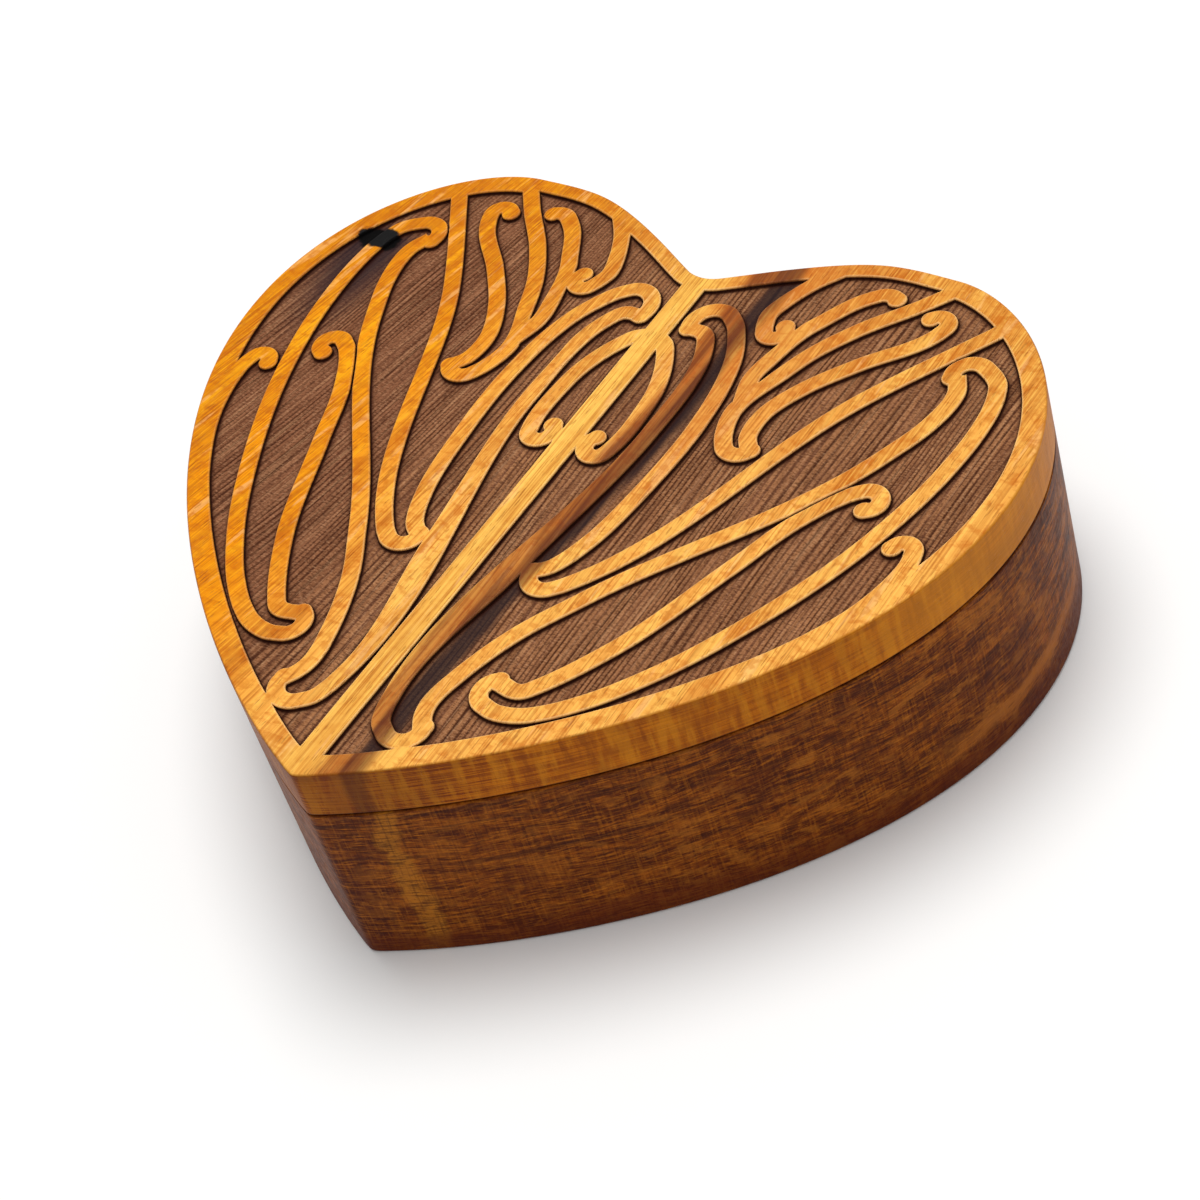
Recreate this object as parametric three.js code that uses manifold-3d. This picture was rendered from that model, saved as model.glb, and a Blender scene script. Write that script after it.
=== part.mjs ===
// A heart-shaped keepsake box in native timber, with a lift-off lid carved in low relief.
// Millimetres, +Z up, the tip of the heart towards -Y and its cleft towards +Y.
// The origin is on the table under the middle of the heart's length and width.
import * as THREE from 'three';
import { mergeVertices } from 'three/addons/utils/BufferGeometryUtils.js';
import Module from 'manifold-3d';

const wasm = await Module();
wasm.setup();

// The heart's outline, seen from above
const HEART_WIDTH = 150;
const HEART_LENGTH = 131;
const CLEFT_DEPTH = 13.2;      // from the tops of the lobes down to the bottom of the cleft
const CLEFT_RADIUS = 7;        // the rounding in the bottom of the cleft
const CLEFT_SLOPE = 30;        // degrees that a lobe falls into the cleft
const LOBE_TOP_X = 42;         // from the centre line to a lobe's top
const WIDEST_Y = 23.4;         // the widest place, above the middle of the length
const TIP_HALF_ANGLE = 67;     // degrees between the centre line and a side, at the tip
const TIP_RADIUS = 2;          // the sanded corner at the tip
const SIDE_BOW = 31.5;         // how long the side keeps its direction at the tip
const SIDE_SWELL = 39.8;       // and below the widest place
const HIP_SWELL = 25.8;        // above the widest place
const LOBE_ROUND = 13.5;       // outside a lobe's top
const SHOULDER_ROUND = 12;     // inside a lobe's top
const SHOULDER_RUN = 28;       // the straight fall into the cleft

// The box, from the table up
const BOTTOM_THICKNESS = 4;    // the board let into the underside
const LEDGE = 4;               // how far that board is let in under the wall, all round
const BASE_HEIGHT = 34.5;      // from the table to the top of the wall
const WALL = 8;
const POCKET_CORNER = 5;       // the cutter's radius, in the pocket's tip
const LINING_THICKNESS = 1.5;  // felt on the floor
const LINING_CLEARANCE = 0.4;  // between the felt and the wall
const SEAM = 0.3;              // the fine line between wall and lid
const LID_THICKNESS = 9.6;
const PLUG_DEPTH = 4;          // how far the lid's locating board reaches into the pocket
const LID_CLEARANCE = 0.5;     // between the locating board and the wall, all round
const GLUE_LINE = 0.1;         // between the let-in board and the wall

// The carving
const RELIEF_DEPTH = 1.2;
const RIM = 4;                 // the plain border left round the carved field
const CLEFT_RIM = 3;           // and on both sides of the cleft, as far as the lobes' tops
const RIB = 4.6;               // the rib down the centre line
const STEM = 3.1;              // a stem's width
const BULB = 1.7;              // the radius of the bulb that a hook ends in

const FINEST_TURN = 9;         // degrees between the facets of a stem
const OUTLINE_TURN = 3;        // and of the heart's outline
const LID_BASE = BASE_HEIGHT + SEAM;
const LID_TOP = LID_BASE + LID_THICKNESS;
const LOBE_TOP_Y = HEART_LENGTH / 2;
const CLEFT_Y = LOBE_TOP_Y - CLEFT_DEPTH;

// The twelve scrolled stems on the right half. A line runs from a stem's root in the rim, the rib or
// another stem, in hundredths of half the heart's width and of half its length. A hook carries on from
// the line's end, and a first hook from its beginning: turn is 1 to the left and -1 to the right, eye
// is the radius inside the hook where it starts and where it ends, and sweep is in degrees. A hook ends
// in a bulb.
const STEMS = [
  // beside the rib: a short inward hook, then the long pair that runs down to the tip
  { hook: { turn: -1, eye: [0.3, 0.9], sweep: 216 },
    line: [[0.7, 56.9], [4.1, 54.5], [7.1, 48.7], [9.6, 42], [10.8, 35], [11.1, 28.2], [10.9, 22.1],
      [10.9, 19.7], [10.2, 16]] },
  { hook: { turn: 1, eye: [2.0, 1.3], sweep: 150 },
    line: [[6.4, 61.8], [10.7, 61.5], [13.6, 56.5], [15.6, 48.9], [15.7, 39.7], [16.4, 29], [15.5, 16.8],
      [14.1, 3.2], [12.3, -10.5], [10.4, -22.7], [8.5, -36.6], [7.2, -50.4], [6.7, -62.6], [6.9, -70.4],
      [8.9, -78], [11.4, -80.5]] },
  { firstHook: { turn: 1, eye: [1.4, 3.0], sweep: 155 },
    line: [[13.7, 69.4], [16.2, 66.9], [18.4, 63.2], [21.9, 55], [24, 44.6], [25.1, 33.4], [25.1, 17.9],
      [23.6, 0.8], [21.2, -13.9], [18.1, -21.7], [15.5, -24.1]] },
  // from the hook at the tip up to the hook under the shoulder, and the two that sweep round it
  { line: [[18.5, -76.5], [16.6, -73], [15.7, -68.6], [16.7, -61.2], [19.1, -52.4], [22.3, -42.7], [27.7, -31.8],
      [34, -20.9], [40.4, -9.8], [47.6, 1.5], [54.1, 11.8], [61.1, 23.7], [66.5, 34], [70.7, 44.9],
      [73.5, 55.7], [73.6, 64], [71.2, 69.2]] },
  { firstHook: { turn: 1, eye: [1.6, 1.2], sweep: 150 }, hook: { turn: -1, eye: [1.4, 0.9], sweep: 150 },
    line: [[76.1, 74], [78.9, 72], [80.8, 69.8], [83.1, 61.4], [83.6, 51.6], [83.1, 40.5], [81.1, 27.2],
      [78.3, 13.6], [73.3, -2.1], [67.2, -18.3], [60.4, -32.7], [52.5, -46.3], [44.1, -57.1],
      [36.1, -63.8], [30.2, -65.4], [27, -64.7]] },
  { hook: { turn: -1, eye: [0.8, 0.4], sweep: 210 },
    line: [[25.9, -57.3], [31.9, -57.9], [36.1, -52.5], [41.2, -43.8], [46.4, -31.8], [50.5, -19.2],
      [54.1, -8.4], [57.3, 3.1], [60.8, 12.4], [64.7, 20.3], [67.2, 24.4], [69.7, 26.9]] },
  // a spur out of the rim at the widest place
  { hook: { turn: 1, eye: [0.3, 0.3], sweep: 164 },
    line: [[74.5, -30.5], [78.6, -21], [84.9, -9.6], [88.1, 2.1], [88.9, 9.9], [88.3, 13.4]] },
  // the straight rib from the lobe down to the hook beside the long pair
  { hook: { turn: -1, eye: [2.1, 0.4], sweep: 152 },
    line: [[76.5, 92.4], [70, 82.1], [62.7, 69.6], [56.5, 56.3], [50.1, 41.1], [44.8, 26.6], [38.5, 9.9],
      [33.7, -2.9], [28.5, -16], [24.4, -24.8], [22, -27.5]] },
  // the second rib, with its hook, and the three scrolls beside it
  { hook: { turn: 1, eye: [1.5, 0.8], sweep: 132 },
    line: [[60.7, 100.5], [55.3, 91.6], [48.1, 82.6], [41.5, 72.1], [36.3, 61.4], [33.1, 50.2],
      [30.4, 40.5], [32.1, 32.1], [33.8, 28.8]] },
  { hook: { turn: -1, eye: [1.3, 0.6], sweep: 85 },
    line: [[30.9, 42], [28.7, 51.6], [30.1, 61.5], [32.3, 71.3], [36.5, 79.7], [39.8, 85.8],
      [42.2, 88.4]] },
  { hook: { turn: 1, eye: [0.3, 0.3], sweep: 204 },
    line: [[32.3, 96.9], [27.7, 90.1], [23.9, 81.7], [21.7, 73.6], [22.1, 70.9], [23.4, 67.4]] },
  { hook: { turn: 1, eye: [0.3, 0.3], sweep: 173 },
    line: [[39.5, 30.1], [37.6, 33.4], [37.2, 41.2], [40.1, 49.9], [45.2, 58.9], [51.2, 67.3],
      [57.1, 74.8], [60.3, 79.3], [61.5, 82.8]] },
];

const rad = THREE.MathUtils.degToRad;
const matt = (name, color, roughness) => new THREE.MeshStandardMaterial({ name, color, roughness, metalness: 0 });
const MATERIALS = {
  lid: matt('golden_timber', 0xc8802c, 0.42),
  wall: matt('brown_timber', 0x6e3a17, 0.45),
  bottom: matt('red_brown_timber', 0x5a2412, 0.5),
  plug: matt('plain_timber', 0x9a6430, 0.6),
  felt: matt('green_felt', 0x1e3a2a, 0.95),
};

// Points along a curve, closer together where it turns
function facetPoints(curve, finestTurn = FINEST_TURN) {
  const fine = 400;
  const kept = [0];
  let last = curve.getTangent(0);
  for (let i = 1; i < fine; i++) {
    const tangent = curve.getTangent(i / fine);
    if (Math.acos(Math.min(1, tangent.dot(last))) > rad(finestTurn)) {
      kept.push(i / fine);
      last = tangent;
    }
  }
  kept.push(1);
  return kept.map((t) => ({ point: curve.getPoint(t), tangent: curve.getTangent(t) }));
}

// The right half of the heart from tip to cleft, as three curves and the rounding of the cleft
function halfHeart() {
  const v = (x, y) => new THREE.Vector2(x, y);
  const side = HEART_WIDTH / 2;
  const tip = rad(TIP_HALF_ANGLE);
  const slope = rad(CLEFT_SLOPE);
  const shoulder = v(CLEFT_RADIUS * Math.sin(slope), CLEFT_Y + CLEFT_RADIUS * (1 - Math.cos(slope)));
  const tipY = -LOBE_TOP_Y - TIP_RADIUS * (1 / Math.sin(tip) - 1);
  const curves = [
    new THREE.CubicBezierCurve(v(0, tipY), v(SIDE_BOW * Math.sin(tip), tipY + SIDE_BOW * Math.cos(tip)),
      v(side, WIDEST_Y - SIDE_SWELL), v(side, WIDEST_Y)),
    new THREE.CubicBezierCurve(v(side, WIDEST_Y), v(side, WIDEST_Y + HIP_SWELL),
      v(LOBE_TOP_X + LOBE_ROUND, LOBE_TOP_Y), v(LOBE_TOP_X, LOBE_TOP_Y)),
    new THREE.CubicBezierCurve(v(LOBE_TOP_X, LOBE_TOP_Y), v(LOBE_TOP_X - SHOULDER_ROUND, LOBE_TOP_Y),
      v(shoulder.x + SHOULDER_RUN * Math.cos(slope), shoulder.y + SHOULDER_RUN * Math.sin(slope)), shoulder),
    new THREE.EllipseCurve(0, CLEFT_Y + CLEFT_RADIUS, CLEFT_RADIUS, CLEFT_RADIUS, slope - Math.PI / 2, -Math.PI / 2, true),
  ];
  return curves.flatMap((curve, i) => facetPoints(curve, OUTLINE_TURN).slice(i ? 1 : 0));
}

// The heart's whole outline, drawn in by inset, with the corner at the tip rounded
function heart(inset, corner) {
  const half = halfHeart();
  const along = (s, distance) => new THREE.Vector2(s.point.x - s.tangent.y * distance, s.point.y + s.tangent.x * distance);
  const first = half.findIndex((s) => along(s, inset + corner).x > 0);
  const before = half[Math.max(first - 1, 0)];
  const a = along(before, inset + corner);
  const b = along(half[first], inset + corner);
  const centreY = a.y + ((b.y - a.y) * -a.x) / (b.x - a.x);
  const start = Math.atan2(-before.tangent.x, before.tangent.y);
  const steps = 5;
  const right = [];
  for (let i = 0; i <= (corner > 0 ? steps : 0); i++) {
    const angle = -Math.PI / 2 + ((start + Math.PI / 2) * i) / steps;
    right.push(new THREE.Vector2(corner * Math.cos(angle), centreY + corner * Math.sin(angle)));
  }
  right.push(...half.slice(first).map((s) => along(s, inset)));
  right[0].x = 0;
  right.at(-1).x = 0;
  const left = right.slice(1, -1).reverse().map((p) => new THREE.Vector2(-p.x, p.y));
  return [...right, ...left];
}

// A flat board between two levels, with any openings cut through it
function board(outline, low, high, openings = []) {
  const shape = new THREE.Shape(outline);
  shape.holes = openings.map((opening) => new THREE.Path(opening));
  const geometry = new THREE.ExtrudeGeometry(shape, { depth: 1, bevelEnabled: false, steps: 1 });
  const position = geometry.getAttribute('position');
  for (let i = 0; i < position.count; i++) position.setZ(i, position.getZ(i) < 0.5 ? low : high);
  return geometry;
}

function solid(geometry) {
  geometry.deleteAttribute('normal');
  geometry.deleteAttribute('uv');
  const merged = mergeVertices(geometry, 1e-4);
  return new wasm.Manifold(new wasm.Mesh({
    numProp: 3,
    vertProperties: merged.getAttribute('position').array,
    triVerts: new Uint32Array(merged.index.array),
  }));
}

function geometryOf(body) {
  const mesh = body.getMesh();
  const geometry = new THREE.BufferGeometry();
  geometry.setAttribute('position', new THREE.BufferAttribute(new Float32Array(mesh.vertProperties), 3));
  geometry.setIndex(new THREE.BufferAttribute(new Uint32Array(mesh.triVerts), 1));
  const flat = geometry.toNonIndexed();
  flat.computeVertexNormals();
  return flat;
}

// A hook that carries on from a place on a stem, spiralling round its eye
function hookPoints({ point, tangent }, { turn, eye, sweep }) {
  const steps = Math.ceil(sweep / FINEST_TURN);
  const step = (turn * rad(sweep)) / steps;
  let heading = Math.atan2(tangent.y, tangent.x);
  let { x, y } = point;
  const spine = [];
  for (let i = 0; i < steps; i++) {
    const radius = STEM / 2 + THREE.MathUtils.lerp(eye[0], eye[1], (i + 0.5) / steps);
    const chord = 2 * radius * Math.sin(Math.abs(step) / 2);
    x += chord * Math.cos(heading + step / 2);
    y += chord * Math.sin(heading + step / 2);
    heading += step;
    spine.push({ point: new THREE.Vector2(x, y), tangent: new THREE.Vector2(Math.cos(heading), Math.sin(heading)) });
  }
  return spine;
}

// One stem of the carving between two levels; hand is 1 on the right half and -1 on the left
function stemSolids(stem, hand, low, high) {
  const place = ([x, y]) => new THREE.Vector3((x * HEART_WIDTH) / 200, (y * HEART_LENGTH) / 200, 0);
  const reverse = (places) => places.reverse().map(({ point, tangent }) => ({ point, tangent: tangent.clone().negate() }));
  let spine = facetPoints(new THREE.CatmullRomCurve3(stem.line.map(place), false, 'centripetal'));
  const bulbs = [];
  for (const hook of [stem.firstHook, stem.hook]) {
    spine = reverse(spine);
    if (hook) {
      spine.push(...hookPoints(spine.at(-1), hook));
      bulbs.push(spine.at(-1).point);
    }
  }
  const side = (sign) => spine.map(({ point, tangent }) => new THREE.Vector2(
    hand * (point.x - sign * tangent.y * STEM / 2), point.y + sign * tangent.x * STEM / 2));
  const rings = bulbs.map(({ x, y }) => new THREE.EllipseCurve(hand * x, y, BULB, BULB).getPoints(20).slice(0, -1));
  return [[...side(-1), ...side(1).reverse()], ...rings].map((outline) => solid(board(outline, low, high)));
}

// The lid: a board whose field is cut down round the raised rim, rib and scrolled stems
function carvedLid() {
  const below = LID_TOP - RELIEF_DEPTH;
  const above = LID_TOP + 1;
  const block = (width, start, end) => solid(board([[-1, start], [1, start], [1, end], [-1, end]].map(
    ([x, y]) => new THREE.Vector2((x * width) / 2, y)), below - 1, above + 1));
  const field = (rim) => solid(board(heart(rim, 0), below, above));
  let sunk = field(RIM).add(field(CLEFT_RIM).intersect(block(2 * LOBE_TOP_X, 0, LOBE_TOP_Y)));
  const raised = [block(RIB, -LOBE_TOP_Y, LOBE_TOP_Y)];
  for (const hand of [1, -1]) for (const stem of STEMS) raised.push(...stemSolids(stem, hand, below - 1, above + 1));
  for (const band of raised) sunk = sunk.subtract(band);
  return solid(board(heart(0, TIP_RADIUS), LID_BASE, LID_TOP)).subtract(sunk);
}

// The wall: a heart with the pocket cut through it and a wider recess under it for the bottom board
function wall() {
  const outline = heart(0, TIP_RADIUS);
  const upper = solid(board(outline, BOTTOM_THICKNESS, BASE_HEIGHT, [heart(WALL, POCKET_CORNER)]));
  const lower = solid(board(outline, 0, BOTTOM_THICKNESS, [heart(WALL - LEDGE, POCKET_CORNER)]));
  return upper.add(lower);
}

const box = new THREE.Group();
function add(name, geometry, material) {
  const mesh = new THREE.Mesh(geometry, material);
  mesh.name = name;
  box.add(mesh);
}

const floorTop = BOTTOM_THICKNESS + LINING_THICKNESS;
add('body_wall', geometryOf(wall()), MATERIALS.wall);
add('bottom_board', board(heart(WALL - LEDGE + GLUE_LINE, POCKET_CORNER), 0, BOTTOM_THICKNESS), MATERIALS.bottom);
add('floor_lining', board(heart(WALL + LINING_CLEARANCE, POCKET_CORNER), BOTTOM_THICKNESS, floorTop), MATERIALS.felt);
add('lid', geometryOf(carvedLid()), MATERIALS.lid);
add('lid_locating_board', board(heart(WALL + LID_CLEARANCE, POCKET_CORNER), BASE_HEIGHT - PLUG_DEPTH, LID_BASE), MATERIALS.plug);

export default box;
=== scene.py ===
"""The looks of a heart-shaped keepsake box: carved golden lid, darker oiled wall, felt-lined pocket.

Lengths are millimetres in the plan work below and become metres when a mesh is made.
The grain of every board runs along Y, from the tip of the heart to its cleft.
"""

import math

import bmesh
import bpy
import numpy as np
from mathutils import Matrix, Vector
from mathutils.geometry import delaunay_2d_cdt
from mathutils.kdtree import KDTree


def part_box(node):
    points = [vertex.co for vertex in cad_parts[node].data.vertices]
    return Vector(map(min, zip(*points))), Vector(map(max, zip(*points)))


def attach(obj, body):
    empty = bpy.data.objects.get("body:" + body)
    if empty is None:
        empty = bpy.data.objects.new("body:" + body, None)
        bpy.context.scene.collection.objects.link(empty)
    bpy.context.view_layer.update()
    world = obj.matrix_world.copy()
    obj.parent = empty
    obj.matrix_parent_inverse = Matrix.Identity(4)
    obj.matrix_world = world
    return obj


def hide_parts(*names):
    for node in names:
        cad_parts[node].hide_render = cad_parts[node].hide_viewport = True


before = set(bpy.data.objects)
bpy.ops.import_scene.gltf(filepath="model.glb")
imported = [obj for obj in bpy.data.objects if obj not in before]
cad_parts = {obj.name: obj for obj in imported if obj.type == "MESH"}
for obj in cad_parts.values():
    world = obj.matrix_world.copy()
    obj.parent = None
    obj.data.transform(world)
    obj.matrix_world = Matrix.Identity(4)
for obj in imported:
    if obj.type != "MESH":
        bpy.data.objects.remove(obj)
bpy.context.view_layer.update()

MM = 0.001

# Edges of the boards, as a sanded and handled box has them
LID_EDGE = 0.5
WALL_EDGE = 0.8
SEAM_EDGE = 0.35
POCKET_EDGE = 0.7
RECESS_EDGE = 0.25
BOTTOM_EDGES = (0.25, 0.05)  # a board's lower edge and its upper one
PLUG_EDGES = (0.9, 0.05)
FELT_EDGES = (0.1, 0.45)
FELT_ROW, FELT_INNER = 1.5, 0.97  # rows of points on it, within this share of its outline
COUNT = 720  # points round a heart's outline

# The carving: how the crest of a stem rounds over and how its wall meets the sunk field
CREST_ROUND = 0.3
WALL_DRAFT = 0.10
FOOT_FILLET = 0.22
CREST_SHARE, WALL_SHARE, FOOT_SHARE = 0.6, 0.2, 0.45  # the most of the free width that each takes
FREE_REACH = 1.5  # edges further apart than twice this leave each other free
PLAN_STEP = 0.46
NARROWEST_GAP = 0.35
SAME_EDGE = 8.0  # two points nearer than this along a loop are on one edge, not across a gap
NEXT_LOOP = 1000.0  # added for each further loop, whose points are never on the same edge
FACING, BESIDE = -0.7, 0.3  # how opposed and how little out of line two points are that face each other
BURNT_BELOW = 0.12  # the burn and its painted shade start this far down a stem's wall
SHARPEST_CURVE = 27.0  # degrees; a plan line that turns further in one point has a corner there

# Marks on the rings of points round the rim and round a stem, from the flat top down
RIM_MARKS = [{"side": min(1.0, max(0.0, (k - 1) / 3))} for k in range(11)]
# The first mark is burnt wood with painted shade down a stem's wall and on the field at its foot; the second
# is a painted highlight on the rounded crest
STEM_MARKS = [{"soot": a, "crest": b, "sunk": c} for a, b, c in zip(
    (0, 0, 0, 0.2, 1, 1, 1, 0.9, 0.6), (0, 1, 1, 0.6, 0, 0, 0, 0, 0), (0, 0, 0, 0, 1, 1, 1, 1, 1))]

# The sunk field: growth rings stand proud of it where the softer wood burnt away
RING_PITCH = 1.05
WANDER = (0.9, 31.0, 40.0), (0.3, 11.5, 6.0)  # size, length along the grain and across it
CROWDING = (0.9, 4.7, 0.0), (0.4, 1.9, 1.0)  # rings swung to and fro, length across, start
RING_HEIGHT = 0.18
FLOOR_CRUST = 0.3  # charred wood left standing on the floor of the cut
FLOOR_ROW, TOP_ROW = 0.9, 1.6  # rows of points on the field and on the raised top
FLOOR_CLEAR, TOP_CLEAR = 0.42, 0.8  # and how far they keep from an edge
FOOT_REACH = 0.3  # how far a stem's foot reaches out over the field
RINGS_GROW = 0.6  # and how far beyond that the rings reach their full height
# How far the soot and painted shade at a stem's foot reach out over the field
SOOT_AND_SHADE_REACH = 0.25
FINE_STEP = 0.05  # how closely a row is searched for the rings it crosses

# Figure of the timber, its colours as a screen shows them
KNOT = (-63.0, 42.5)
KNOT_SIZE = (4.6, 2.8)
LEFT_LEAN = -0.22  # how far the left half's grain leans in towards the rib as it rises
LEANING = (-40.0, -3.0)  # from full lean to none
HEART_ALONG = (-48.0, 30.0)  # the dark heartwood runs up the board from one to the other
HEART_ACROSS = (8.9, 14.6)  # and lies this far right of the rib there
LIGHT_STREAK = 9.4  # right of the tip, on the wall
# The back colour is painted shade: the top darkens towards the back lobes, away from the light
TOP_LEFT, TOP_RIGHT, TOP_RIB, TOP_BACK_SHADE, TOP_FAR_LEFT = "ec8e00", "feb654", "ffca5c", "c4700e", "c26c00"

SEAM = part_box("lid")[0].z / MM  # the level where lid and wall meet


# Plan work

def walk_round(edges):
    """Closed runs of point numbers that follow the edges."""
    after = {}
    for a, b in edges:
        after.setdefault(a, []).append(b)
    runs = []
    while after:
        start = next(iter(after))
        run = [start]
        while True:
            ways = after[run[-1]]
            step = ways.pop()
            if not ways:
                del after[run[-1]]
            if step == start:
                break
            run.append(step)
        runs.append(run)
    return runs


def plan_loops(node, level, facing):
    """Closed edges of a node's flat face at one level, longest first, the wood always on their left."""
    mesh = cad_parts[node].data
    mesh.calc_loop_triangles()
    place = {}
    number = np.empty(len(mesh.vertices), int)
    spots = []
    for v in mesh.vertices:
        key = tuple(round(c / MM, 3) for c in v.co)
        if key not in place:
            place[key] = len(spots)
            spots.append(key)
        number[v.index] = place[key]
    edges = {}
    for t in mesh.loop_triangles:
        a, b, c = (int(number[i]) for i in t.vertices)
        if len({a, b, c}) < 3 or any(abs(spots[i][2] - level) > 0.01 for i in (a, b, c)):
            continue
        if facing < 0:
            a, c = c, a
        for e in ((a, b), (b, c), (c, a)):
            if (e[1], e[0]) in edges:
                del edges[(e[1], e[0])]
            else:
                edges[e] = True
    loops = [np.array([spots[i][:2] for i in run]) for run in walk_round(edges)]
    return sorted(loops, key=lambda p: -abs(area_of(p)))


def area_of(p):
    """The area inside a loop, above zero where it runs anticlockwise."""
    q = np.roll(p, -1, axis=0)
    return 0.5 * float(np.sum(p[:, 0] * q[:, 1] - q[:, 0] * p[:, 1]))


def thin_out(points, least=0.04):
    """The loop without points that lie closer together than least."""
    kept = [points[0]]
    for p in points[1:]:
        if np.hypot(*(p - kept[-1])) > least:
            kept.append(p)
    if np.hypot(*(kept[-1] - kept[0])) <= least:
        kept.pop()
    return np.array(kept)


def smooth_loop(points, step):
    """A finer copy of a faceted loop: curved through its gentle points, straight into its corners."""
    p = thin_out(points)
    n = len(p)
    into = p - np.roll(p, 1, axis=0)
    out = np.roll(p, -1, axis=0) - p
    turn = np.abs(np.angle((out[:, 0] + 1j * out[:, 1]) / (into[:, 0] + 1j * into[:, 1])))
    corner = turn > math.radians(SHARPEST_CURVE)
    tangent = np.zeros_like(p)
    for i in range(n):
        a, b = np.hypot(*into[i]), np.hypot(*out[i])
        tangent[i] = (into[i] / a * b + out[i] / b * a) / (a + b)
    made = []
    for i in range(n):
        j = (i + 1) % n
        length = np.hypot(*out[i])
        straight = out[i] / length
        t0 = straight if corner[i] else tangent[i]
        t1 = straight if corner[j] else tangent[j]
        pieces = max(1, int(round(length / step)))
        for k in range(pieces):
            s = k / pieces
            h00, h10 = 2 * s**3 - 3 * s**2 + 1, s**3 - 2 * s**2 + s
            h01, h11 = -2 * s**3 + 3 * s**2, s**3 - s**2
            made.append(h00 * p[i] + h10 * length * t0 + h01 * p[j] + h11 * length * t1)
    return np.array(made)


def loop_normals(p):
    """Unit directions across a loop, away from the wood on its left."""
    along = np.roll(p, -1, axis=0) - p
    along /= np.linalg.norm(along, axis=1)[:, None]
    mean = along + np.roll(along, 1, axis=0)
    mean /= np.maximum(np.linalg.norm(mean, axis=1), 1e-9)[:, None]
    return np.column_stack([mean[:, 1], -mean[:, 0]])


def plan_tree(points):
    """A search tree of plan points."""
    tree = KDTree(len(points))
    for i, p in enumerate(points):
        tree.insert((*p, 0), i)
    tree.balance()
    return tree


def along_loop(p):
    """How far along a loop each of its points is."""
    return np.r_[0, np.cumsum(np.linalg.norm(np.diff(p, axis=0), axis=1))]


def keep_apart(loops, least):
    """The loops, drawn back into the wood where a sunk gap between two edges is narrower than least."""
    normals = np.vstack([loop_normals(p) for p in loops])
    spots = np.vstack(loops)
    arc = np.concatenate([along_loop(p) + NEXT_LOOP * k for k, p in enumerate(loops)])
    tree = plan_tree(spots)
    moved = spots.copy()
    for i, (p, n) in enumerate(zip(spots, normals)):
        for q, j, _ in tree.find_range((*p, 0), 2 * least):
            facing = normals[j] @ n < FACING and abs(arc[i] - arc[j]) > SAME_EDGE
            gap = (q[0] - p[0]) * n[0] + (q[1] - p[1]) * n[1]
            aside = abs((q[0] - p[0]) * n[1] - (q[1] - p[1]) * n[0])
            if facing and aside < BESIDE and gap < least:
                drawn = p - n * (least - gap) / 2
                if (drawn - moved[i]) @ n < 0:
                    moved[i] = drawn
    return np.split(moved, np.cumsum([len(p) for p in loops])[:-1])


def nearest_middle(p, allowed):
    """The number of the allowed point nearest to the heart's middle line."""
    return int(np.argmin(np.where(allowed, np.abs(p[:, 0]), np.inf)))


def even_loop(points):
    """COUNT points spread evenly along both halves of a heart's loop, from the tip to the cleft and back."""
    p = smooth_loop(points, 0.5)
    p = np.roll(p, -nearest_middle(p, p[:, 1] <= 0), axis=0)
    top = nearest_middle(p, p[:, 1] >= 0)
    closed = np.vstack([p, p[:1]])
    halves = []
    for run in (closed[: top + 1], closed[top:]):
        run = run.copy()
        run[0, 0] = run[-1, 0] = 0
        arc = along_loop(run)
        s = np.linspace(0, arc[-1], COUNT // 2 + 1)[:-1]
        halves.append(np.column_stack([np.interp(s, arc, run[:, k]) for k in (0, 1)]))
    return np.vstack(halves)


def cut_up(outline, inner):
    """Triangles inside an outline that use its points and some inside it, numbered in that order."""
    plan = [Vector(p) for p in [*outline, *inner]]
    _, _, faces, source, _, inside = delaunay_2d_cdt(plan, [], [list(range(len(outline)))], 1, 1e-5, True)
    return [tuple(source[v][0] for v in face) for face, ids in zip(faces, inside) if ids]


# Making meshes

def make_piece(name, points, faces, normals, material, marks):
    """A mesh object from millimetres, with its own normals and point marks, its faces turned to face out."""
    shape = bmesh.new()
    spots = [shape.verts.new(p) for p in (np.asarray(points) * MM).tolist()]
    for face in faces:
        shape.faces.new([spots[i] for i in face])
    bmesh.ops.recalc_face_normals(shape, faces=shape.faces)
    mesh = bpy.data.meshes.new(name)
    shape.to_mesh(mesh)
    shape.free()
    mesh.materials.append(material)
    mesh.polygons.foreach_set("use_smooth", np.ones(len(mesh.polygons), bool))
    for key, values in marks.items():
        mesh.attributes.new(key, "FLOAT", "POINT").data.foreach_set("value", np.asarray(values, np.float32))
    mesh.update()
    mesh.normals_split_custom_set_from_vertices(np.asarray(normals, float).tolist())
    piece = bpy.data.objects.new(name, mesh)
    bpy.context.scene.collection.objects.link(piece)
    return piece


def strip(first, second, count):
    """Faces between two closed rings of points whose numbers start at first and second."""
    return [(first + i, first + (i + 1) % count, second + (i + 1) % count, second + i) for i in range(count)]


def unit(v):
    """Rows of numbers, each scaled to a length of 1."""
    return v / np.maximum(np.linalg.norm(v, axis=-1, keepdims=True), 1e-9)


# The carved lid

def across_grain(x, y):
    """How far across the grain a place lies; the left half's grain leans and all of it wanders."""
    lean = np.interp(x, LEANING, (LEFT_LEAN, 0))
    return x + lean * y + sum(size * np.sin(y / along + x / aside) for size, along, aside in WANDER)


def ring_number(across):
    crowded = sum(size * np.sin(across / length + start) for size, length, start in CROWDING)
    return across / RING_PITCH + crowded


def ring_relief(x, y):
    """How far the growth rings stand up from the sunk field, 0 to 1."""
    across = across_grain(x, y)
    ridge = 0.5 + 0.5 * np.cos(2 * math.pi * ring_number(across))
    strength = 0.55 + 0.3 * np.sin(across / 1.3 + 0.7 * np.sin(y / 17)) + 0.15 * np.cos(y / 9 + across / 5)
    return ridge ** 1.6 * strength


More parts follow.
